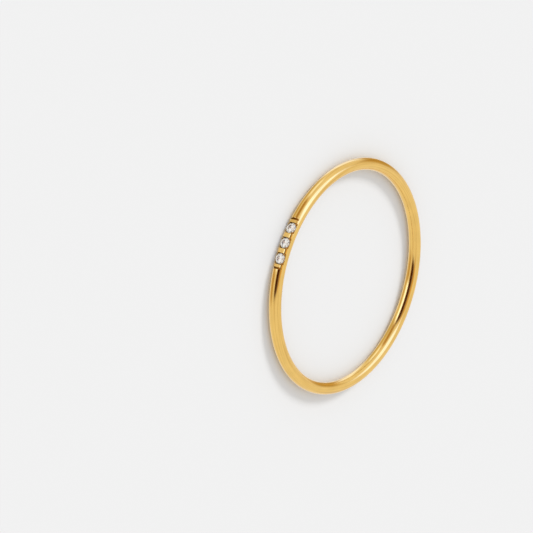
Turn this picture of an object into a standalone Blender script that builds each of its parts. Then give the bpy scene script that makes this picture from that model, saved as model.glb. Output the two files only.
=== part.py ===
"""A slim stacking ring: a round wire band with three small brilliants set in its outer face.

Lengths are metres and +Z is up. The ring lies on its side, so its axis is +Z and the floor is
z = 0. The origin is on the floor, on the ring's axis, and the middle stone faces -Y.
"""
from math import cos, pi, radians, sin, tan

import bmesh
import bpy
from mathutils import Matrix, Vector

# Band: one round wire, bent to a circle and closed
FINGER_HOLE_DIAMETER = 0.01775
WIRE_DIAMETER = 0.00100
WIRE_SIDES = 16
BAND_STEPS = 96
SHARP_ANGLE = radians(30.0)

# Stones: round brilliants, in the proportions that cutters use
STONE_COUNT = 3
STONE_DIAMETER = 0.00086
STONE_SYMMETRY = 8
GIRDLE_THICKNESS = 0.00003
TABLE_SHARE = 0.57
STAR_SHARE = 0.45
LOWER_FACET_SHARE = 0.24
CROWN_ANGLE = radians(34.5)
PAVILION_ANGLE = radians(40.75)

# Setting: a flat-floored pocket for each stone, milled across the outside of the wire
POCKET_DEPTH = 0.00026
GIRDLE_LIFT = 0.00003
SETTING_GAP = 0.00002
LAND_WIDTH = 0.00040

# Beads: four small grains of metal at the corners of a pocket, which reach over the girdle
BEAD_DIAMETER = 0.00018
BEAD_REACH = 0.000035
BEAD_ANGLE = radians(36.0)

# Grooves: one narrow cut beyond the last land at each end of the row
END_LAND_WIDTH = 0.000265
GROOVE_WIDTH = 0.00011
GROOVE_DEPTH = 0.00018

# Flat: the lands are level across the wire, milled down a little from groove to groove
FLAT_DEPTH = 0.00010
FLAT_STEPS = 24

# Sizes that follow from those above
WIRE_RADIUS = WIRE_DIAMETER / 2
BAND_RADIUS = FINGER_HOLE_DIAMETER / 2 + WIRE_RADIUS
STONE_RADIUS = STONE_DIAMETER / 2
POCKET_FLOOR = WIRE_RADIUS - POCKET_DEPTH
GIRDLE_HEIGHT = POCKET_FLOOR + GIRDLE_LIFT
POCKET_LENGTH = STONE_DIAMETER + 2 * SETTING_GAP
STONE_PITCH = (POCKET_LENGTH + LAND_WIDTH) / (BAND_RADIUS + GIRDLE_HEIGHT)
LAST_STONE_ANGLE = STONE_PITCH * (STONE_COUNT - 1) / 2
GROOVE_REACH = POCKET_LENGTH / 2 + END_LAND_WIDTH + GROOVE_WIDTH / 2
GROOVE_ANGLE = LAST_STONE_ANGLE + GROOVE_REACH / (BAND_RADIUS + GIRDLE_HEIGHT)
CUTTER_REACH = 1.5 * WIRE_RADIUS
STONE_ANGLES = [STONE_PITCH * (i - (STONE_COUNT - 1) / 2) for i in range(STONE_COUNT)]


def clear_scene():
    """Removes every object that is already in the file."""
    for old in list(bpy.data.objects):
        bpy.data.objects.remove(old, do_unlink=True)


def make_material(name, color, roughness, metallic, transmission=0.0):
    """A plain material with the colour and finish of one sub-part."""
    material = bpy.data.materials.new(name)
    material.use_nodes = True
    shader = material.node_tree.nodes["Principled BSDF"]
    shader.inputs["Base Color"].default_value = (*color, 1.0)
    shader.inputs["Roughness"].default_value = roughness
    shader.inputs["Metallic"].default_value = metallic
    shader.inputs["Transmission Weight"].default_value = transmission
    return material


def on_wire(angle, height=0.0):
    """Frame on the wire: X runs along the band, Y across it and Z outward from its axis.

    The angle is measured about the ring's axis from -Y towards +X, and the height from the
    wire's centre line.
    """
    along = Vector((cos(angle), sin(angle), 0.0))
    outward = Vector((sin(angle), -cos(angle), 0.0))
    across = Vector((0.0, 0.0, 1.0))
    place = outward * (BAND_RADIUS + height) + across * WIRE_RADIUS
    turn = Matrix((along, across, outward)).transposed().to_4x4()
    return Matrix.Translation(place) @ turn


def link_mesh(name, mesh_data, material=None):
    """Turns a bmesh into an object in the scene."""
    bmesh.ops.recalc_face_normals(mesh_data, faces=mesh_data.faces)
    mesh = bpy.data.meshes.new(name)
    mesh_data.to_mesh(mesh)
    mesh_data.free()
    made = bpy.data.objects.new(name, mesh)
    if material:
        mesh.materials.append(material)
    bpy.context.scene.collection.objects.link(made)
    return made


def mark_as_tool(made):
    """Shows an object as a wire cage, because it only shapes another one."""
    made.hide_render = True
    made.display_type = "WIRE"


def add_wire():
    """The closed wire, with a flat along its lowest and highest side."""
    corner_radius = WIRE_RADIUS / cos(pi / WIRE_SIDES)
    wire = bmesh.new()
    rings = []
    for step in range(BAND_STEPS):
        frame = on_wire(2 * pi * step / BAND_STEPS)
        ring = []
        for side in range(WIRE_SIDES):
            turn = 2 * pi * (side + 0.5) / WIRE_SIDES
            corner = Vector((0.0, sin(turn) * corner_radius, cos(turn) * corner_radius))
            ring.append(wire.verts.new(frame @ corner))
        rings.append(ring)
    for here, ahead in zip(rings, rings[1:] + rings[:1]):
        for side in range(WIRE_SIDES):
            after = (side + 1) % WIRE_SIDES
            wire.faces.new((here[side], here[after], ahead[after], ahead[side]))
    return wire


def add_block(target, frame, length, floor):
    """A cutting block as wide as the wire, from a floor height up past the wire's surface."""
    height = CUTTER_REACH - floor
    size = Matrix.Diagonal((length, 2 * CUTTER_REACH, height, 1.0))
    middle = Matrix.Translation((0.0, 0.0, floor + height / 2))
    bmesh.ops.create_cube(target, size=1.0, matrix=frame @ middle @ size)


def add_brilliant(target, frame, growth=0.0):
    """A round brilliant with its girdle's middle at the frame's origin and its table up.

    With a growth it is the room that the stone needs, with each facet further out.
    """
    radius = STONE_RADIUS + growth
    half_girdle = (GIRDLE_THICKNESS + growth) / 2
    table_radius = STONE_RADIUS * TABLE_SHARE
    star_radius = table_radius + (radius - table_radius) * STAR_SHARE
    lower_radius = radius * LOWER_FACET_SHARE
    half_step = pi / STONE_SYMMETRY

    def point(turn, distance, height):
        return target.verts.new(frame @ Vector((cos(turn) * distance, sin(turn) * distance, height)))

    def crown_height(distance):
        return half_girdle + (radius - distance) * tan(CROWN_ANGLE)

    def pavilion_height(distance):
        return -half_girdle - (radius - distance) * tan(PAVILION_ANGLE)

    main_turns = [2 * pi * i / STONE_SYMMETRY for i in range(STONE_SYMMETRY)]
    half_turns = [turn + half_step for turn in main_turns]
    star_height = crown_height(star_radius * cos(half_step))
    lower_height = pavilion_height(lower_radius * cos(half_step))
    table = [point(turn, table_radius, crown_height(table_radius)) for turn in main_turns]
    stars = [point(turn, star_radius, star_height) for turn in half_turns]
    lowers = [point(turn, lower_radius, lower_height) for turn in half_turns]
    culet = point(0.0, 0.0, pavilion_height(0.0))
    girdle_turns = [half_step * i for i in range(2 * STONE_SYMMETRY)]
    upper = [point(turn, radius, half_girdle) for turn in girdle_turns]
    lower = [point(turn, radius, -half_girdle) for turn in girdle_turns]

    target.faces.new(table)
    for i in range(STONE_SYMMETRY):
        after = (i + 1) % STONE_SYMMETRY
        main, half, main_after = 2 * i, 2 * i + 1, 2 * after
        target.faces.new((table[i], stars[i], table[after]))
        target.faces.new((table[i], stars[i - 1], upper[main], stars[i]))
        target.faces.new((stars[i], upper[main], upper[half]))
        target.faces.new((stars[i], upper[half], upper[main_after]))
        target.faces.new((culet, lowers[i - 1], lower[main], lowers[i]))
        target.faces.new((lowers[i], lower[main], lower[half]))
        target.faces.new((lowers[i], lower[half], lower[main_after]))
    for i in range(2 * STONE_SYMMETRY):
        after = (i + 1) % (2 * STONE_SYMMETRY)
        target.faces.new((upper[i], upper[after], lower[after], lower[i]))


def make_pocket_cutters():
    """The blocks that mill the pockets."""
    blocks = bmesh.new()
    for angle in STONE_ANGLES:
        add_block(blocks, on_wire(angle), POCKET_LENGTH, POCKET_FLOOR)
    return link_mesh("pocket_cutters", blocks)


def make_flat_cutter():
    """The curved block that mills the outside of the wire level, from one groove to the other."""
    floor = WIRE_RADIUS - FLAT_DEPTH
    corners = (
        (-CUTTER_REACH, floor), (CUTTER_REACH, floor),
        (CUTTER_REACH, CUTTER_REACH), (-CUTTER_REACH, CUTTER_REACH),
    )
    block = bmesh.new()
    slices = []
    for step in range(FLAT_STEPS + 1):
        frame = on_wire(GROOVE_ANGLE * (2 * step / FLAT_STEPS - 1))
        slices.append([block.verts.new(frame @ Vector((0.0, y, z))) for y, z in corners])
    block.faces.new(slices[0])
    block.faces.new(slices[-1])
    for here, ahead in zip(slices, slices[1:]):
        for i in range(len(corners)):
            after = (i + 1) % len(corners)
            block.faces.new((here[i], here[after], ahead[after], ahead[i]))
    return link_mesh("flat_cutter", block)


def make_groove_cutters():
    """The blocks that cut the two end grooves."""
    blocks = bmesh.new()
    for angle in (-GROOVE_ANGLE, GROOVE_ANGLE):
        add_block(blocks, on_wire(angle), GROOVE_WIDTH, WIRE_RADIUS - GROOVE_DEPTH)
    return link_mesh("groove_cutters", blocks)


def make_bead_blanks():
    """The grains of metal, round and not yet cut away over the stones."""
    bead_radius = BEAD_DIAMETER / 2
    distance = STONE_RADIUS + bead_radius - BEAD_REACH
    along, across = distance * cos(BEAD_ANGLE), distance * sin(BEAD_ANGLE)
    beads = bmesh.new()
    for angle in STONE_ANGLES:
        for x, y in ((along, across), (along, -across), (-along, across), (-along, -across)):
            frame = on_wire(angle, GIRDLE_HEIGHT) @ Matrix.Translation((x, y, 0.0))
            bmesh.ops.create_icosphere(beads, subdivisions=2, radius=bead_radius, matrix=frame)
    return link_mesh("bead_blanks", beads)


def make_seat_cutters():
    """The room that each stone takes in the metal, its clearance included."""
    rooms = bmesh.new()
    for angle in STONE_ANGLES:
        add_brilliant(rooms, on_wire(angle, GIRDLE_HEIGHT), SETTING_GAP)
    return link_mesh("seat_cutters", rooms)


def make_band(gold):
    """The wire with its flat, pockets, grooves, beads and seats, all one piece of metal."""
    band = link_mesh("band", add_wire(), gold)
    band.data.shade_smooth()
    band.data.set_sharp_from_angle(angle=SHARP_ANGLE)
    steps = (
        ("mill the flat", "DIFFERENCE", make_flat_cutter()),
        ("mill the pockets", "DIFFERENCE", make_pocket_cutters()),
        ("cut the grooves", "DIFFERENCE", make_groove_cutters()),
        ("raise the beads", "UNION", make_bead_blanks()),
        ("sink the seats", "DIFFERENCE", make_seat_cutters()),
    )
    for title, operation, tool in steps:
        mark_as_tool(tool)
        change = band.modifiers.new(title, "BOOLEAN")
        change.operation = operation
        change.solver = "EXACT"
        change.object = tool
    return band


def make_stones(crystal, ring):
    """One brilliant for each pocket, girdle above the pocket's floor."""
    shape = bmesh.new()
    add_brilliant(shape, Matrix.Identity(4))
    first = link_mesh("stone_1", shape, crystal)
    stones = [first]
    for number in range(2, STONE_COUNT + 1):
        copy = bpy.data.objects.new("stone_%d" % number, first.data)
        bpy.context.scene.collection.objects.link(copy)
        stones.append(copy)
    for stone, angle in zip(stones, STONE_ANGLES):
        stone.parent = ring
        stone.matrix_basis = on_wire(angle, GIRDLE_HEIGHT)


def main():
    clear_scene()
    gold = make_material("polished gold", (0.83, 0.56, 0.20), 0.18, 1.0)
    crystal = make_material("clear stone", (0.96, 0.95, 0.95), 0.02, 0.0, 1.0)
    ring = bpy.data.objects.new("ring", None)
    bpy.context.scene.collection.objects.link(ring)
    band = make_band(gold)
    band.parent = ring
    make_stones(crystal, ring)


main()
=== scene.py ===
"""Dresses the stacking ring: its polished gold wire, its bead setting and its brilliants.

Run as a script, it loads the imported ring, builds each visible piece with its own operator and
sets the stage. Lengths are metres. An angle round the ring is measured about +Z from -Y, where
the middle stone sits, towards +X, and a height is measured outward from the wire's centre line.
"""

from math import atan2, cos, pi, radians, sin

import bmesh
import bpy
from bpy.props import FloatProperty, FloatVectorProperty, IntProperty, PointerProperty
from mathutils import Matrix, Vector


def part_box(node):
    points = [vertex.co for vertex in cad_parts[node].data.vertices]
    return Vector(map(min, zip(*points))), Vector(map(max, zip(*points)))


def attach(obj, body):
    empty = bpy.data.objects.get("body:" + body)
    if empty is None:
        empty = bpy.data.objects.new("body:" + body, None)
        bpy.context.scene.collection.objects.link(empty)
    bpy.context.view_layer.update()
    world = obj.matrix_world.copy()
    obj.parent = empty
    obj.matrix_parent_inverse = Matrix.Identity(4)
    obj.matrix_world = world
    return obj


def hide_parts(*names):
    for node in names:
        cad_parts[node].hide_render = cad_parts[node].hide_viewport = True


bl_info = {
    "name": "Stacking ring dresser",
    "version": (1, 0, 0),
    "blender": (4, 5, 0),
    "location": "View3D > Sidebar > Ring",
    "description": "Builds the gold band, the brilliants and the stage of a slim stacking ring",
    "category": "Object",
}

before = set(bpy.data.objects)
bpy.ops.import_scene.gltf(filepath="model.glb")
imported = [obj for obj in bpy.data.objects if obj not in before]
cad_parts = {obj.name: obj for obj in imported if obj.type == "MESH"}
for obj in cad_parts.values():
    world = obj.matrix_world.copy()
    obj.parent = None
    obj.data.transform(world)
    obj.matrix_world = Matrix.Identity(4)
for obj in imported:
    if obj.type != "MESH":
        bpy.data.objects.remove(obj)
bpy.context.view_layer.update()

UP = Vector((0.0, 0.0, 1.0))

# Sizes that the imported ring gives
BAND_LOW, BAND_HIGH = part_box("band")
WIRE_RADIUS = (BAND_HIGH.z - BAND_LOW.z) / 2
BAND_RADIUS = (BAND_HIGH.x - BAND_LOW.x) / 2 - WIRE_RADIUS
STONE_NODES = sorted(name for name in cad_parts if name.startswith("stone_"))


def stone_angle(node):
    """How far round the ring a stone sits, from the mean of its corners."""
    corners = [vertex.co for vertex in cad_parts[node].data.vertices]
    middle = sum(corners, Vector()) / len(corners)
    return atan2(middle.x, -middle.y)


STONE_ANGLES = {node: stone_angle(node) for node in STONE_NODES}
MIDDLE_STONE = min(STONE_NODES, key=lambda node: abs(STONE_ANGLES[node]))
STONE_PITCH = (max(STONE_ANGLES.values()) - min(STONE_ANGLES.values())) / (len(STONE_NODES) - 1)
STONE_LOW, STONE_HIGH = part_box(MIDDLE_STONE)
STONE_RADIUS = (STONE_HIGH.z - STONE_LOW.z) / 2
TABLE_HEIGHT = -STONE_LOW.y - BAND_RADIUS
CULET_HEIGHT = -STONE_HIGH.y - BAND_RADIUS
GIRDLE_HEIGHTS = [
    -vertex.co.y - BAND_RADIUS
    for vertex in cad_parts[MIDDLE_STONE].data.vertices
    if abs(vertex.co.z - WIRE_RADIUS) > 0.999 * STONE_RADIUS
]
GIRDLE_TOP = max(GIRDLE_HEIGHTS)
GIRDLE_BOTTOM = min(GIRDLE_HEIGHTS)
GIRDLE_MIDDLE = (GIRDLE_TOP + GIRDLE_BOTTOM) / 2


class BandSizes(bpy.types.PropertyGroup):
    """Sizes of the wire and of the setting that is cut into it."""

    pocket_depth: FloatProperty(
        name="Pocket depth", description="How deep each pocket is milled under the wire's top",
        default=0.00026, unit="LENGTH", precision=6)
    pocket_gap: FloatProperty(
        name="Pocket gap", description="Room between a stone's girdle and its pocket's end",
        default=0.00002, unit="LENGTH", precision=6)
    end_land: FloatProperty(
        name="End land", description="Width of the land between an end pocket and its groove",
        default=0.000265, unit="LENGTH", precision=6)
    groove_width: FloatProperty(
        name="Groove width", description="Width of the cut at each end of the row",
        default=0.00011, unit="LENGTH", precision=6)
    groove_depth: FloatProperty(
        name="Groove depth", description="Depth of the cut at each end of the row",
        default=0.00018, unit="LENGTH", precision=6)
    flat_depth: FloatProperty(
        name="Flat depth", description="How far the wire is milled level from groove to groove",
        default=0.00010, unit="LENGTH", precision=6)
    bead_diameter: FloatProperty(
        name="Bead diameter", description="Size of the grains that hold the stones",
        default=0.00018, unit="LENGTH", precision=6)
    bead_reach: FloatProperty(
        name="Bead reach", description="How far a grain reaches in over a stone's girdle",
        default=0.000035, unit="LENGTH", precision=6)
    bead_angle: FloatProperty(
        name="Bead angle", description="Where a grain sits round its stone, from the band's run",
        default=radians(36.0), subtype="ANGLE")
    edge_softness: FloatProperty(
        name="Edge softness", description="How far polishing has rounded the cut edges",
        default=0.00006, unit="LENGTH", precision=6)
    steps_round: IntProperty(
        name="Steps round", description="Faces round the whole band", default=600)
    steps_across: IntProperty(
        name="Steps across", description="Faces round the wire's section", default=128)


class StoneCut(bpy.types.PropertyGroup):
    """Proportions of the brilliant cut, as shares of the stone's own size."""

    table_share: FloatProperty(
        name="Table", description="Table width as a share of the stone's width",
        default=0.57, subtype="FACTOR")
    star_share: FloatProperty(
        name="Star", description="How far the star facets reach from table to girdle",
        default=0.45, subtype="FACTOR")
    lower_share: FloatProperty(
        name="Lower facets", description="Where the lower facets end, from culet to girdle",
        default=0.24, subtype="FACTOR")
    girdle_steps: IntProperty(
        name="Girdle steps", description="Sides of the round girdle", default=64)
    refraction: FloatProperty(
        name="Refraction", description="Refractive index of the stone", default=2.0)


class GoldFinish(bpy.types.PropertyGroup):
    """Colour and polish of the gold, and the colours of its painted reflection streaks and painted
    shade.
    """

    color: FloatVectorProperty(
        name="Gold", description="Colour of the polished gold", subtype="COLOR", size=3,
        default=(0.88, 0.577, 0.175), min=0.0, max=1.0)
    # Painted reflection: long darker streaks along the wire that stand in for mirrored dark
    # surroundings
    reflection_streak_color: FloatVectorProperty(
        name="Streaks", description="Deeper tone of the long streaks in the polish",
        subtype="COLOR", size=3, default=(0.68, 0.38, 0.08), min=0.0, max=1.0)
    # Painted shade: the dark brown given to the cuts and beads in place of their shadow and dark
    # reflections
    cut_shade_color: FloatVectorProperty(
        name="Recess", description="Colour of the gold down in the cuts", subtype="COLOR", size=3,
        default=(0.27, 0.11, 0.012), min=0.0, max=1.0)
    seat_color: FloatVectorProperty(
        name="Seat", description="Colour of the bright cut seat under a stone", subtype="COLOR",
        size=3, default=(1.0, 0.80, 0.66), min=0.0, max=1.0)
    roughness: FloatProperty(
        name="Roughness", description="Roughness of the polished gold", default=0.13,
        subtype="FACTOR")
    line_depth: FloatProperty(
        name="Line depth", description="Depth of the fine polishing lines",
        default=0.0000004, unit="LENGTH", precision=7)


class StageSettings(bpy.types.PropertyGroup):
    """Camera, floor and light."""

    camera_azimuth: FloatProperty(
        name="Azimuth", description="Camera's direction round the ring",
        default=radians(7.35), subtype="ANGLE")
    camera_elevation: FloatProperty(
        name="Elevation", description="Camera's height above the ring's plane",
        default=radians(35.51), subtype="ANGLE")
    camera_roll: FloatProperty(
        name="Roll", description="Camera's turn about its own axis",
        default=radians(105.5), subtype="ANGLE")
    camera_distance: FloatProperty(
        name="Distance", description="From the camera to the point it looks at",
        default=0.3364, unit="LENGTH")
    aim: FloatVectorProperty(
        name="Aim", description="The point that the camera looks at, in the ring's mid plane",
        default=(0.00238, -0.01094), size=2, unit="LENGTH", precision=6)
    lens: FloatProperty(name="Lens", description="Focal length in millimetres", default=286.7)
    floor_color: FloatVectorProperty(
        name="Floor", description="Colour of the pale floor", subtype="COLOR", size=3,
        default=(0.73, 0.73, 0.73), min=0.0, max=1.0)
    tent_strength: FloatProperty(
        name="Tent", description="Brightness of the white tent round the ring", default=0.93)
    key_strength: FloatProperty(
        name="Key", description="Strength of the soft key light", default=1.5)
    key_softness: FloatProperty(
        name="Key softness", description="How wide the key light looks from the ring",
        default=radians(16.0), subtype="ANGLE")
    key_azimuth: FloatProperty(
        name="Key azimuth", description="Key light's direction round the ring",
        default=radians(262.0), subtype="ANGLE")
    key_elevation: FloatProperty(
        name="Key elevation", description="Key light's height above the floor",
        default=radians(36.0), subtype="ANGLE")


class Socket:
    """A node's output that takes part in Python arithmetic."""

    def __init__(self, net, output):
        self.net = net
        self.output = output

    def __getitem__(self, name):
        """Another output of the same node."""
        return Socket(self.net, self.output.node.outputs[name])

    def __add__(self, other):
        return self.net.math("ADD", self, other)

    def __radd__(self, other):
        return self.net.math("ADD", other, self)

    def __sub__(self, other):
        return self.net.math("SUBTRACT", self, other)

    def __rsub__(self, other):
        return self.net.math("SUBTRACT", other, self)

    def __mul__(self, other):
        return self.net.math("MULTIPLY", self, other)

    def __rmul__(self, other):
        return self.net.math("MULTIPLY", other, self)

    def __truediv__(self, other):
        return self.net.math("DIVIDE", self, other)

    def __rtruediv__(self, other):
        return self.net.math("DIVIDE", other, self)

    def __abs__(self):
        return self.net.math("ABSOLUTE", self)


class Net:
    """A node tree that is built up one node at a time."""

    def __init__(self, tree):
        self.tree = tree
        tree.nodes.clear()

    def add(self, kind, settings=None, inputs=None, output=0):
        """Adds a node: its settings come first, then its sockets' values or links."""
        node = self.tree.nodes.new(kind)
        for name, value in (settings or {}).items():
            setattr(node, name, value)
        for name, value in (inputs or {}).items():
            several = value if isinstance(value, list) else [value]
            for one in several:
                if isinstance(one, Socket):
                    self.tree.links.new(one.output, node.inputs[name])
                else:
                    node.inputs[name].default_value = one
        return Socket(self, node.outputs[output]) if node.outputs else node

    def math(self, operation, *values):
        """A Math node on up to three values."""
        return self.add("ShaderNodeMath", {"operation": operation}, dict(enumerate(values)))

    def separate(self, vector):
        """The three parts of a vector."""
        parts = self.add("ShaderNodeSeparateXYZ", {}, {"Vector": vector})
        return parts["X"], parts["Y"], parts["Z"]

    def combine(self, x, y, z):
        """A vector of three parts."""
        return self.add("ShaderNodeCombineXYZ", {}, {"X": x, "Y": y, "Z": z})

    def ramp(self, value, low, high, bottom=0.0, top=1.0):
        """Turns the span from low to high into the span from bottom to top, and clamps it."""
        return self.add("ShaderNodeMapRange", {"clamp": True}, {
            "Value": value, "From Min": low, "From Max": high, "To Min": bottom, "To Max": top})

    def mix_colors(self, share, first, second, blend="MIX"):
        """A blend of two colours. The Mix node's colour sockets are its seventh and eighth."""
        settings = {"data_type": "RGBA", "blend_type": blend}
        return self.add("ShaderNodeMix", settings, {0: share, 6: first, 7: second}, output=2)


class GeometryNet(Net):
    """A geometry node tree with named inputs, which ends in realized instances."""

    def __init__(self, name, inputs):
        tree = bpy.data.node_groups.new(name, "GeometryNodeTree")
        super().__init__(tree)
        for title, kind in inputs.items():
            tree.interface.new_socket(title, in_out="INPUT", socket_type=kind)
        tree.interface.new_socket("Geometry", in_out="OUTPUT", socket_type="NodeSocketGeometry")
        self.given = tree.nodes.new("NodeGroupInput")

    def size(self, title):
        """One of the tree's named inputs."""
        return Socket(self, self.given.outputs[title])

    def finish(self, geometry, material):
        """Realizes the instances, gives the material and closes the tree."""
        real = self.add("GeometryNodeRealizeInstances", {}, {"Geometry": geometry})
        dressed = self.add("GeometryNodeSetMaterial", {}, {"Geometry": real, "Material": material})
        self.add("NodeGroupOutput", {}, {"Geometry": dressed})
        return self.tree


def as_color(rgb):
    """A colour with full opacity."""
    return (*rgb, 1.0)


def show(name, mesh):
    """Puts a mesh into the scene as an object at the origin."""
    made = bpy.data.objects.new(name, mesh)
    bpy.context.scene.collection.objects.link(made)
    return made


def grow(name, tree, values):
    """Runs a geometry node tree once and keeps its result as a plain mesh."""
    made = show(name, bpy.data.meshes.new(name))
    change = made.modifiers.new("Shape", "NODES")
    change.node_group = tree
    for item in tree.interface.items_tree:
        if item.in_out == "INPUT":
            change[item.identifier] = values[item.name]
    graph = bpy.context.evaluated_depsgraph_get()
    result = bpy.data.meshes.new_from_object(made.evaluated_get(graph))
    made.modifiers.remove(change)
    made.data = result
    return made


def hand_over(made, node):
    """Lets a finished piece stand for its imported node."""
    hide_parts(node)
    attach(made, "root")


def gold_material(finish):
    """Polished gold with lines, smears, painted reflection streaks, and painted shade in its cuts
    and beads.
    """
    material = bpy.data.materials.new("polished gold")
    material.use_nodes = True
    net = Net(material.node_tree)
    place = net.add("ShaderNodeTexCoord", output="Object")
    x, y, z = net.separate(place)
    flat = net.math("SQRT", x * x + y * y)
    out = flat - BAND_RADIUS
    up = z - WIRE_RADIUS
    reach = net.math("SQRT", out * out + up * up)
    depth = WIRE_RADIUS - reach

    def along_wire(run_scale, across_scale, detail):
        """Noise that is drawn out along the wire."""
        spot = net.combine(x / flat * run_scale, y / flat * run_scale, out / reach * across_scale)
        return net.add("ShaderNodeTexNoise", {"noise_dimensions": "4D"}, {
            "Vector": spot, "W": up / reach * across_scale,
            "Scale": 1.0, "Detail": detail, "Roughness": 0.6})

    def shaded(share, color):
        """A colour made darker or lighter by a share."""
        return net.mix_colors(1.0, color, net.combine(share, share, share), "MULTIPLY")

    lines = along_wire(run_scale=3.5, across_scale=22.0, detail=4.0)
    # Noise for the streaks of painted reflection along the wire
    streaks = along_wire(run_scale=1.6, across_scale=4.5, detail=2.0)
    smears = net.add("ShaderNodeTexNoise", {}, {
        "Vector": place, "Scale": 900.0, "Detail": 3.0, "Roughness": 0.55})

    # Heights over the centre line where the seats end and where the lands begin
    seat_heights, land_heights = (0.000222, 0.000236), (0.000365, 0.000396)

    # Depths under the round wire at which a cut and a land begin
    cut_depths, land_depths = (0.000003, 0.000014), (0.00002, 0.00006)

    # Shares of painted shade on the beads and of darker painted reflection on the lands, and the
    # roughness added in the cuts
    bead_shade_share, land_reflection_share, recess_roughness = 0.7, 0.35, 0.22
    bead = net.add("ShaderNodeAttribute", {"attribute_name": "bead"}, output="Fac")
    sunk = net.ramp(depth, *cut_depths) * net.ramp(out, *land_heights, 1.0, 0.0)
    # Painted shade over the cuts and, at a share, over the beads; the same mask also roughens and
    # bumps them
    cut_shade = sunk * (1.0 - bead) + bead * bead_shade_share
    seat = net.ramp(out, *seat_heights, 1.0, 0.0) * sunk
    land = net.ramp(depth, *land_depths) * net.ramp(out, *land_heights)

    # Painted reflection: darker streaks along the wire, and a darker tone over the milled lands in
    # place of what they mirror
    reflection_share = net.ramp(streaks, 0.45, 0.7, 0.0, 0.7) + land * land_reflection_share
    reflection_streaked = net.mix_colors(reflection_share, as_color(finish.color), as_color(finish.reflection_streak_color))
    tone = net.ramp(smears, 0.35, 0.65, 0.97, 1.03) * net.ramp(lines, 0.3, 0.7, 0.93, 1.05)
    # Painted shade in the cuts: darker on the floor side, lighter on the upper side
    cut_shade_by_side = net.ramp(up, -0.0003, 0.00025, 0.5, 1.7)
    # The gold with the painted shade of the cuts mixed in
    cut_shaded = net.mix_colors(
        cut_shade, shaded(tone, reflection_streaked), shaded(cut_shade_by_side, as_color(finish.cut_shade_color)))
    color = net.mix_colors(seat, cut_shaded, as_color(finish.seat_color))
    polish = finish.roughness + (lines - 0.5) * 0.10 + (smears - 0.5) * 0.08
    roughness = net.math("MAXIMUM", polish + cut_shade * recess_roughness, 0.04)
    bump = net.add("ShaderNodeBump", {}, {
        "Strength": 0.6, "Distance": finish.line_depth, "Height": lines + cut_shade * smears * 3.0})
    shader = net.add("ShaderNodeBsdfPrincipled", {}, {
        "Base Color": color, "Metallic": 1.0, "Roughness": roughness, "Normal": bump})
    net.add("ShaderNodeOutputMaterial", {}, {"Surface": shader})
    return material


def stone_material(cut):
    """Clear polished stone with a ground girdle."""
    material = bpy.data.materials.new("clear stone")
    material.use_nodes = True
    net = Net(material.node_tree)
    girdle = net.add("ShaderNodeAttribute", {"attribute_name": "girdle"}, output="Fac")
    place = net.add("ShaderNodeTexCoord", output="Object")
    grain = net.add("ShaderNodeTexNoise", {}, {"Vector": place, "Scale": 40000.0})
    roughness = girdle * net.ramp(grain, 0.3, 0.7, 0.25, 0.5)
    polished_color, ground_color = (1.0, 0.962, 0.88), (1.0, 0.94, 0.88)
    color = net.mix_colors(girdle, as_color(polished_color), as_color(ground_color))
    shader = net.add("ShaderNodeBsdfPrincipled", {}, {
        "Base Color": color, "Roughness": roughness, "IOR": cut.refraction,
        "Transmission Weight": 1.0})
    net.add("ShaderNodeOutputMaterial", {}, {"Surface": shader})
    return material


def repeat_round(net, geometry, count, pitch, middle):
    """Instances a shape at even places round the ring's axis, about a middle angle."""
    points = net.add("GeometryNodePoints", {}, {"Count": count})
    index = net.add("GeometryNodeInputIndex")
    angle = middle + pitch * (index - (count - 1) / 2)
    turn = net.add("FunctionNodeAxisAngleToRotation", {}, {"Axis": UP, "Angle": angle})
    return net.add("GeometryNodeInstanceOnPoints", {}, {
        "Points": points, "Instance": geometry, "Rotation": turn})


def cut_height(net, run, middle, half_length, floor, softness):
    """Height that a cut leaves along the wire: its floor, then a steep wall at either end.

    The run is the angle round the ring.
    """
    wall_slope = 6.0
    past_end = abs(run - middle) * (BAND_RADIUS + WIRE_RADIUS) - half_length
    return floor + net.math("SMOOTH_MAX", past_end, 0.0, softness / 2) * wall_slope


def chord_height(run, middle):
    """How far a straight floor rises from the curve that the wire follows."""
    away = run - middle
    return away * away * (BAND_RADIUS / 2)


def spread(net, place, fine_share, fine_angle):
    """Turns a place from -1 to 1 into an angle, with finer steps up to an angle from the middle."""
    fine = net.math("MINIMUM", abs(place), fine_share) * (fine_angle / fine_share)
    coarse_slope = (pi - fine_angle) / (1 - fine_share)
    coarse = net.math("MAXIMUM", abs(place) - fine_share, 0.0) * coarse_slope
    return net.math("SIGN", place) * (fine + coarse)


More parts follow.
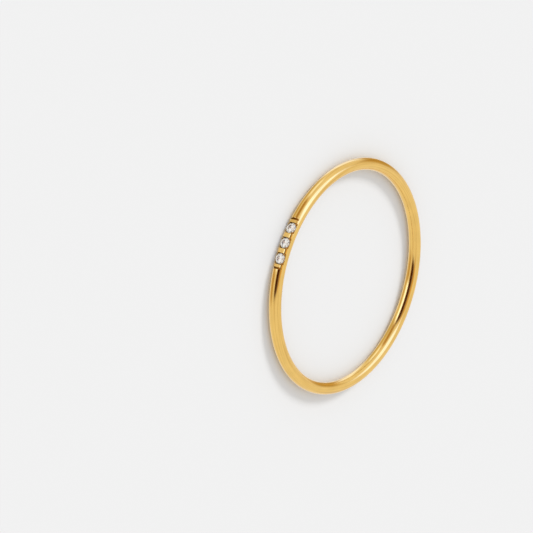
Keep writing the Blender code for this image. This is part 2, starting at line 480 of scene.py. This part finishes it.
def band_tree(material, seat):
    """The band: a round wire whose section is pressed in where the setting is cut."""
    net = GeometryNet("Gold band", {
        "Band Radius": "NodeSocketFloat", "Wire Radius": "NodeSocketFloat",
        "Pocket Floor": "NodeSocketFloat", "Pocket Half Length": "NodeSocketFloat",
        "Stone Pitch": "NodeSocketFloat", "Stone Count": "NodeSocketInt",
        "Groove Angle": "NodeSocketFloat", "Groove Half Length": "NodeSocketFloat",
        "Groove Floor": "NodeSocketFloat", "Flat Floor": "NodeSocketFloat",
        "Edge Softness": "NodeSocketFloat",
        "Bead Radius": "NodeSocketFloat", "Bead Along": "NodeSocketFloat",
        "Bead Across": "NodeSocketFloat", "Bead Height": "NodeSocketFloat",
        "Steps Round": "NodeSocketInt", "Steps Across": "NodeSocketInt",
    })
    weld_distance, crease_angle = 1e-7, radians(40.0)
    band_radius, wire_radius = net.size("Band Radius"), net.size("Wire Radius")
    softness = net.size("Edge Softness")
    pitch, count = net.size("Stone Pitch"), net.size("Stone Count")

    # The grid's X runs round the ring, closer set at the setting, and its Y round the section
    grid = net.add("GeometryNodeMeshGrid", {}, {
        "Size X": 2.0, "Size Y": 2.0,
        "Vertices X": net.size("Steps Round") + 1, "Vertices Y": net.size("Steps Across") + 1})
    along, across, _ = net.separate(net.add("GeometryNodeInputPosition"))
    run = spread(net, along, 0.62, radians(14.0))
    roll = spread(net, across, 0.7, radians(75.0))

    # The milled flat follows the ring's curve, and the pockets and grooves are straight
    groove_angle = net.size("Groove Angle")
    lowest = cut_height(
        net, run, 0.0, groove_angle * (band_radius + wire_radius), net.size("Flat Floor"), softness)
    middle_index = (len(STONE_NODES) - 1) / 2
    cuts = [(pitch * (number - middle_index), "Pocket") for number in range(len(STONE_NODES))]
    cuts += [(groove_angle * side, "Groove") for side in (-1.0, 1.0)]
    for middle, kind in cuts:
        cut = cut_height(
            net, run, middle, net.size(kind + " Half Length"), net.size(kind + " Floor"), softness)
        lowest = net.math("SMOOTH_MIN", lowest, cut + chord_height(run, middle), softness / 2)
    outward = net.math("MAXIMUM", net.math("COSINE", roll), 0.001)
    section = net.math("SMOOTH_MIN", wire_radius, lowest / outward, softness)

    distance = band_radius + section * net.math("COSINE", roll)
    spot = net.combine(
        distance * net.math("SINE", run), distance * net.math("COSINE", run) * -1.0,
        wire_radius + section * net.math("SINE", roll))
    shaped = net.add("GeometryNodeSetPosition", {}, {"Geometry": grid, "Position": spot})
    wire = net.add("GeometryNodeMergeByDistance", {}, {
        "Geometry": shaped, "Distance": weld_distance})

    # Four beads at the middle stone, then the same four at every stone
    index = net.add("GeometryNodeInputIndex")
    side = net.math("MODULO", index, 2.0) * 2.0 - 1.0
    edge = net.math("FLOOR", index / 2.0) * 2.0 - 1.0
    corner = net.combine(
        net.size("Bead Along") * side, (band_radius + net.size("Bead Height")) * -1.0,
        wire_radius + net.size("Bead Across") * edge)
    corners = net.add("GeometryNodePoints", {}, {"Count": 4, "Position": corner})
    ball = net.add("GeometryNodeMeshIcoSphere", {}, {
        "Radius": net.size("Bead Radius"), "Subdivisions": 4})
    marked = net.add("GeometryNodeStoreNamedAttribute", {"domain": "FACE"}, {
        "Geometry": ball, "Name": "bead", "Value": 1.0})
    four = net.add("GeometryNodeInstanceOnPoints", {}, {"Points": corners, "Instance": marked})
    beads = net.add("GeometryNodeRealizeInstances", {}, {
        "Geometry": repeat_round(net, four, count, pitch, 0.0)})
    beaded = net.add("GeometryNodeMeshBoolean", {"operation": "UNION", "solver": "EXACT"}, {
        "Mesh 2": [wire, beads]})

    room = net.add("GeometryNodeObjectInfo", {}, {"Object": seat}, output="Geometry")
    rooms = net.add("GeometryNodeRealizeInstances", {}, {
        "Geometry": repeat_round(net, room, count, pitch, 0.0)})
    seated = net.add("GeometryNodeMeshBoolean", {"operation": "DIFFERENCE", "solver": "EXACT"}, {
        "Mesh 1": beaded, "Mesh 2": rooms})

    bend = net.add("GeometryNodeInputMeshEdgeAngle", output="Unsigned Angle")
    smooth = net.add("GeometryNodeSetShadeSmooth", {"domain": "FACE"}, {
        "Geometry": seated, "Shade Smooth": True})
    crisp = net.add("GeometryNodeSetShadeSmooth", {"domain": "EDGE"}, {
        "Geometry": smooth, "Selection": net.math("GREATER_THAN", bend, crease_angle),
        "Shade Smooth": False})
    return net.finish(crisp, material)


def stone_tree(material, stone):
    """One stone, turned to its place round the ring."""
    net = GeometryNet("Brilliant", {"Stone Angle": "NodeSocketFloat"})
    shape = net.add("GeometryNodeObjectInfo", {}, {"Object": stone}, output="Geometry")
    return net.finish(repeat_round(net, shape, 1, 0.0, net.size("Stone Angle")), material)


def from_stone(turn, distance, height):
    """A point near the middle stone, whose axis points along -Y."""
    return Vector((
        cos(turn) * distance, -BAND_RADIUS - height, WIRE_RADIUS + sin(turn) * distance))


def slice_off(shape, corners):
    """Grinds a flat facet through three corners and closes the cut."""
    inside = from_stone(0.0, 0.0, (GIRDLE_MIDDLE + CULET_HEIGHT) / 2)
    normal = (corners[1] - corners[0]).cross(corners[2] - corners[0]).normalized()
    if normal.dot(corners[0] - inside) < 0:
        normal.negate()
    everything = shape.verts[:] + shape.edges[:] + shape.faces[:]
    bmesh.ops.bisect_plane(
        shape, geom=everything, dist=1e-9, plane_co=corners[0], plane_no=normal,
        clear_outer=True)
    rim = [edge for edge in shape.edges if edge.is_boundary]
    if rim:
        bmesh.ops.edgeloop_fill(shape, edges=rim)


def cut_brilliant(cut):
    """A round brilliant at the middle stone's place, ground facet by facet from a round blank."""
    symmetry = 8
    half_step = pi / symmetry
    radius = STONE_RADIUS
    table_radius = radius * cut.table_share
    star_radius = table_radius + (radius - table_radius) * cut.star_share
    lower_radius = radius * cut.lower_share
    crown_slope = (TABLE_HEIGHT - GIRDLE_TOP) / (radius - table_radius)
    pavilion_slope = (GIRDLE_BOTTOM - CULET_HEIGHT) / radius
    star_height = GIRDLE_TOP + (radius - star_radius * cos(half_step)) * crown_slope
    lower_height = GIRDLE_BOTTOM - (radius - lower_radius * cos(half_step)) * pavilion_slope
    culet = from_stone(0.0, 0.0, CULET_HEIGHT)

    shape = bmesh.new()
    blank_height = TABLE_HEIGHT - CULET_HEIGHT
    lay = Matrix.Translation(from_stone(0.0, 0.0, (TABLE_HEIGHT + CULET_HEIGHT) / 2))
    bmesh.ops.create_cone(
        shape, cap_ends=True, segments=cut.girdle_steps, radius1=radius, radius2=radius,
        depth=blank_height, matrix=lay @ Matrix.Rotation(pi / 2, 4, "X"))
    for number in range(symmetry):
        turn = 2 * half_step * number
        table = [from_stone(turn + step, table_radius, TABLE_HEIGHT) for step in (0, 2 * half_step)]
        before = from_stone(turn - half_step, star_radius, star_height)
        star = from_stone(turn + half_step, star_radius, star_height)
        lower = from_stone(turn + half_step, lower_radius, lower_height)
        tops = [from_stone(turn + i * half_step, radius, GIRDLE_TOP) for i in range(3)]
        bottoms = [from_stone(turn + i * half_step, radius, GIRDLE_BOTTOM) for i in range(3)]
        facets = (
            (before, tops[0], star), (table[0], star, table[1]),
            (star, tops[0], tops[1]), (star, tops[1], tops[2]),
            (culet, lower, bottoms[0]),
            (lower, bottoms[0], bottoms[1]), (lower, bottoms[1], bottoms[2]),
        )
        for corners in facets:
            slice_off(shape, corners)
    girdle = shape.faces.layers.float.new("girdle")
    outward = Vector((0.0, -1.0, 0.0))
    for face in shape.faces:
        face[girdle] = float(abs(face.normal.dot(outward)) < 0.05)
    bmesh.ops.recalc_face_normals(shape, faces=shape.faces)
    return shape


def seat_shape(gap):
    """The smooth room that a stone takes in the metal, a little larger than the stone."""
    steps = 64

    # Distances from the stone's axis and heights, from below the culet to over the table
    outline = (
        (0.0, CULET_HEIGHT - gap), (STONE_RADIUS + gap, GIRDLE_BOTTOM - gap / 2),
        (STONE_RADIUS + gap, GIRDLE_TOP + gap / 2),
        (STONE_RADIUS * 0.5, TABLE_HEIGHT + gap), (0.0, TABLE_HEIGHT + gap))
    shape = bmesh.new()
    rings = []
    for distance, height in outline:
        turns = [2 * pi * i / steps for i in range(steps)] if distance else [0.0]
        rings.append([shape.verts.new(from_stone(turn, distance, height)) for turn in turns])
    for low, high in zip(rings, rings[1:]):
        for i in range(steps):
            after = (i + 1) % steps
            ends = (low[i % len(low)], low[after % len(low)],
                    high[after % len(high)], high[i % len(high)])
            shape.faces.new(dict.fromkeys(ends))
    bmesh.ops.recalc_face_normals(shape, faces=shape.faces)
    return shape


def helper(name, shape):
    """An object that only lends its mesh to a node tree."""
    mesh = bpy.data.meshes.new(name)
    shape.to_mesh(mesh)
    shape.free()
    return show(name, mesh)


class RING_OT_band(bpy.types.Operator):
    """Builds the gold band with its setting."""

    bl_idname = "ring.band"
    bl_label = "Gold band"

    def execute(self, context):
        sizes = context.scene.ring_band
        stone_reach = BAND_RADIUS + GIRDLE_MIDDLE
        half_pocket = STONE_RADIUS + sizes.pocket_gap
        groove_reach = half_pocket + sizes.end_land + sizes.groove_width / 2
        bead_distance = STONE_RADIUS + sizes.bead_diameter / 2 - sizes.bead_reach
        seat = helper("seat_room", seat_shape(sizes.pocket_gap))
        tree = band_tree(gold_material(context.scene.ring_gold), seat)
        band = grow("gold_band", tree, {
            "Band Radius": BAND_RADIUS, "Wire Radius": WIRE_RADIUS,
            "Pocket Floor": WIRE_RADIUS - sizes.pocket_depth,
            "Pocket Half Length": half_pocket,
            "Stone Pitch": STONE_PITCH, "Stone Count": len(STONE_NODES),
            "Groove Angle": max(STONE_ANGLES.values()) + groove_reach / stone_reach,
            "Groove Half Length": sizes.groove_width / 2,
            "Groove Floor": WIRE_RADIUS - sizes.groove_depth,
            "Flat Floor": WIRE_RADIUS - sizes.flat_depth,
            "Edge Softness": sizes.edge_softness,
            "Bead Radius": sizes.bead_diameter / 2,
            "Bead Along": bead_distance * cos(sizes.bead_angle),
            "Bead Across": bead_distance * sin(sizes.bead_angle),
            "Bead Height": GIRDLE_MIDDLE,
            "Steps Round": sizes.steps_round, "Steps Across": sizes.steps_across,
        })
        bpy.data.objects.remove(seat)
        if len(band.data.polygons) < sizes.steps_round * sizes.steps_across / 2:
            raise RuntimeError("the band lost its wire in a cut")
        hand_over(band, "band")
        return {"FINISHED"}


class RING_OT_stones(bpy.types.Operator):
    """Cuts one brilliant and sets it at each stone's place."""

    bl_idname = "ring.stones"
    bl_label = "Brilliants"

    def execute(self, context):
        cut = context.scene.ring_cut
        pattern = helper("stone_pattern", cut_brilliant(cut))
        tree = stone_tree(stone_material(cut), pattern)
        for node in STONE_NODES:
            stone = grow(node.replace("stone", "brilliant"), tree, {
                "Stone Angle": STONE_ANGLES[node]})
            hand_over(stone, node)
        bpy.data.objects.remove(pattern)
        return {"FINISHED"}


def card_material(name, color, soft_share):
    """A card's even light, which fades out towards the card's edges."""
    material = bpy.data.materials.new(name)
    material.use_nodes = True
    net = Net(material.node_tree)
    across, along, _ = net.separate(net.add("ShaderNodeTexCoord", output="UV"))
    sides = net.math("MINIMUM", across, 1.0 - across)
    cover = 1.0
    for edge, share in zip((sides, along, 1.0 - along), soft_share):
        cover = cover * net.add("ShaderNodeMapRange", {"interpolation_type": "SMOOTHSTEP"}, {
            "Value": edge, "From Max": share})
    light = net.add("ShaderNodeEmission", {}, {"Color": as_color(color), "Strength": 1.0})
    clear = net.add("ShaderNodeBsdfTransparent")
    mixed = net.add("ShaderNodeMixShader", {}, {0: cover, 1: clear, 2: light})
    net.add("ShaderNodeOutputMaterial", {}, {"Surface": mixed})
    return material


def direction(azimuth, elevation):
    """A unit vector from the ring, azimuth from -Y towards +X and elevation above the floor."""
    level = cos(elevation)
    return Vector((sin(azimuth) * level, -cos(azimuth) * level, sin(elevation)))


def add_card(name, distance, azimuths, elevations, fades, color):
    """A curved card that spans the given degrees and shows only as a reflection in the gold.

    The fades say over how many degrees its sides, its lower edge and its upper edge go soft.
    """
    steps = 16
    card = bmesh.new()
    uv = card.loops.layers.uv.new("UVMap")
    places = {}
    for i in range(steps + 1):
        for j in range(steps + 1):
            azimuth = azimuths[0] + (azimuths[1] - azimuths[0]) * j / steps
            elevation = elevations[0] + (elevations[1] - elevations[0]) * i / steps
            spot = direction(radians(azimuth), radians(elevation)) * distance
            places[j, i] = card.verts.new(spot)
    for i in range(steps):
        for j in range(steps):
            corners = ((j, i), (j + 1, i), (j + 1, i + 1), (j, i + 1))
            face = card.faces.new([places[corner] for corner in corners])
            for loop, corner in zip(face.loops, corners):
                loop[uv].uv = (corner[0] / steps, corner[1] / steps)
    made = helper(name, card)
    width, height = azimuths[1] - azimuths[0], elevations[1] - elevations[0]
    soft_share = (fades[0] / width, fades[1] / height, fades[2] / height)
    made.data.materials.append(card_material(name, color, soft_share))
    made.visible_camera = False
    made.visible_diffuse = False
    made.visible_transmission = False
    made.visible_shadow = False
    return made


class RING_OT_stage(bpy.types.Operator):
    """Sets the floor, the light and the camera."""

    bl_idname = "ring.stage"
    bl_label = "Stage"

    def execute(self, context):
        settings = context.scene.ring_stage
        self.add_floor(settings)
        self.add_light(context.scene, settings)
        self.add_camera(context.scene, settings)
        return {"FINISHED"}

    def add_floor(self, settings):
        material = bpy.data.materials.new("pale floor")
        material.use_nodes = True
        shader = material.node_tree.nodes["Principled BSDF"]
        shader.inputs["Base Color"].default_value = as_color(settings.floor_color)
        shader.inputs["Roughness"].default_value = 1.0
        shader.inputs["Specular IOR Level"].default_value = 0.0
        floor = bmesh.new()
        bmesh.ops.create_grid(floor, x_segments=1, y_segments=1, size=4.0)
        made = helper("floor", floor)
        made.data.materials.append(material)
        made.visible_glossy = False
        made.visible_transmission = False

    def add_light(self, scene, settings):
        world = bpy.data.worlds.new("white tent")
        world.use_nodes = True
        scene.world = world
        tent = world.node_tree.nodes["Background"]
        tent.inputs["Color"].default_value = (1.0, 1.0, 1.0, 1.0)
        tent.inputs["Strength"].default_value = settings.tent_strength

        key = bpy.data.lights.new("key", "SUN")
        key.energy = settings.key_strength
        key.angle = settings.key_softness
        lamp = bpy.data.objects.new("key", key)
        scene.collection.objects.link(lamp)
        toward = direction(settings.key_azimuth, settings.key_elevation)
        lamp.matrix_world = toward.to_track_quat("Z", "Y").to_matrix().to_4x4()
        lamp.visible_glossy = False

        # What the gold mirrors: azimuths, elevations and fades in degrees, and the colour
        add_card("camera_side_flag", 0.40, (-31, 48), (-1, 78), (11, 9, 44), (0.085, 0.022, 0.0))
        add_card("cool_softbox", 0.41, (222, 326), (32, 80), (24, 14, 12), (1.35, 1.75, 3.5))
        add_card("warm_flag", 0.42, (204, 246), (-34, 44), (14, 14, 34), (0.58, 0.42, 0.15))
        add_card("front_strip", 0.43, (-26, 22), (-38, 8), (8, 14, 7), (1.6, 2.05, 3.5))
        add_card("left_strip", 0.44, (228, 268), (-56, -4), (12, 14, 14), (1.25, 1.5, 2.3))
        add_card("between_strip", 0.45, (282, 310), (-32, 8), (8, 12, 12), (1.2, 1.4, 2.0))
        add_card("side_flag", 0.46, (306, 338), (-27, 34), (8, 14, 30), (0.50, 0.32, 0.10))
        add_card("low_flag", 0.47, (226, 340), (-80, -32), (12, 12, 12), (0.70, 0.62, 0.42))
        add_card("near_low_flag", 0.49, (-26, 74), (-88, -42), (16, 8, 16), (0.70, 0.58, 0.38))
        add_card("upper_flag", 0.48, (-48, 62), (48, 88), (14, 12, 12), (0.90, 0.64, 0.28))
        add_card("beside_flag", 0.50, (16, 56), (-64, -22), (12, 14, 12), (0.60, 0.42, 0.18))

    def add_camera(self, scene, settings):
        data = bpy.data.cameras.new("camera")
        data.lens = settings.lens
        data.clip_start = 0.01
        data.clip_end = 20.0
        camera = bpy.data.objects.new("camera", data)
        scene.collection.objects.link(camera)
        back = direction(settings.camera_azimuth, settings.camera_elevation)
        aim = Vector((*settings.aim, WIRE_RADIUS))
        level = back.to_track_quat("Z", "Y").to_matrix().to_4x4()
        roll = Matrix.Rotation(settings.camera_roll, 4, "Z")
        spot = Matrix.Translation(aim + back * settings.camera_distance)
        camera.matrix_world = spot @ level @ roll
        scene.camera = camera
        scene.view_settings.view_transform = "Standard"


class RING_PT_panel(bpy.types.Panel):
    """Lists the ring's settings and operators."""

    bl_idname = "RING_PT_panel"
    bl_label = "Stacking ring"
    bl_space_type = "VIEW_3D"
    bl_region_type = "UI"
    bl_category = "Ring"

    def draw(self, context):
        for title, operator, groups in (
            ("Band", RING_OT_band, ("ring_band", "ring_gold")),
            ("Stones", RING_OT_stones, ("ring_cut",)),
            ("Stage", RING_OT_stage, ("ring_stage",)),
        ):
            box = self.layout.box()
            box.label(text=title)
            for group in groups:
                settings = getattr(context.scene, group)
                for name in settings.__annotations__:
                    box.prop(settings, name)
            box.operator(operator.bl_idname)


GROUPS = {
    "ring_band": BandSizes,
    "ring_cut": StoneCut,
    "ring_gold": GoldFinish,
    "ring_stage": StageSettings,
}
OPERATORS = (RING_OT_band, RING_OT_stones, RING_OT_stage)


def register():
    for name, group in GROUPS.items():
        bpy.utils.register_class(group)
        setattr(bpy.types.Scene, name, PointerProperty(type=group))
    for shown in (*OPERATORS, RING_PT_panel):
        bpy.utils.register_class(shown)


def unregister():
    for shown in (RING_PT_panel, *reversed(OPERATORS)):
        bpy.utils.unregister_class(shown)
    for name, group in GROUPS.items():
        delattr(bpy.types.Scene, name)
        bpy.utils.unregister_class(group)


def main():
    register()
    bpy.ops.ring.band()
    bpy.ops.ring.stones()
    bpy.ops.ring.stage()


if __name__ == "__main__":
    main()
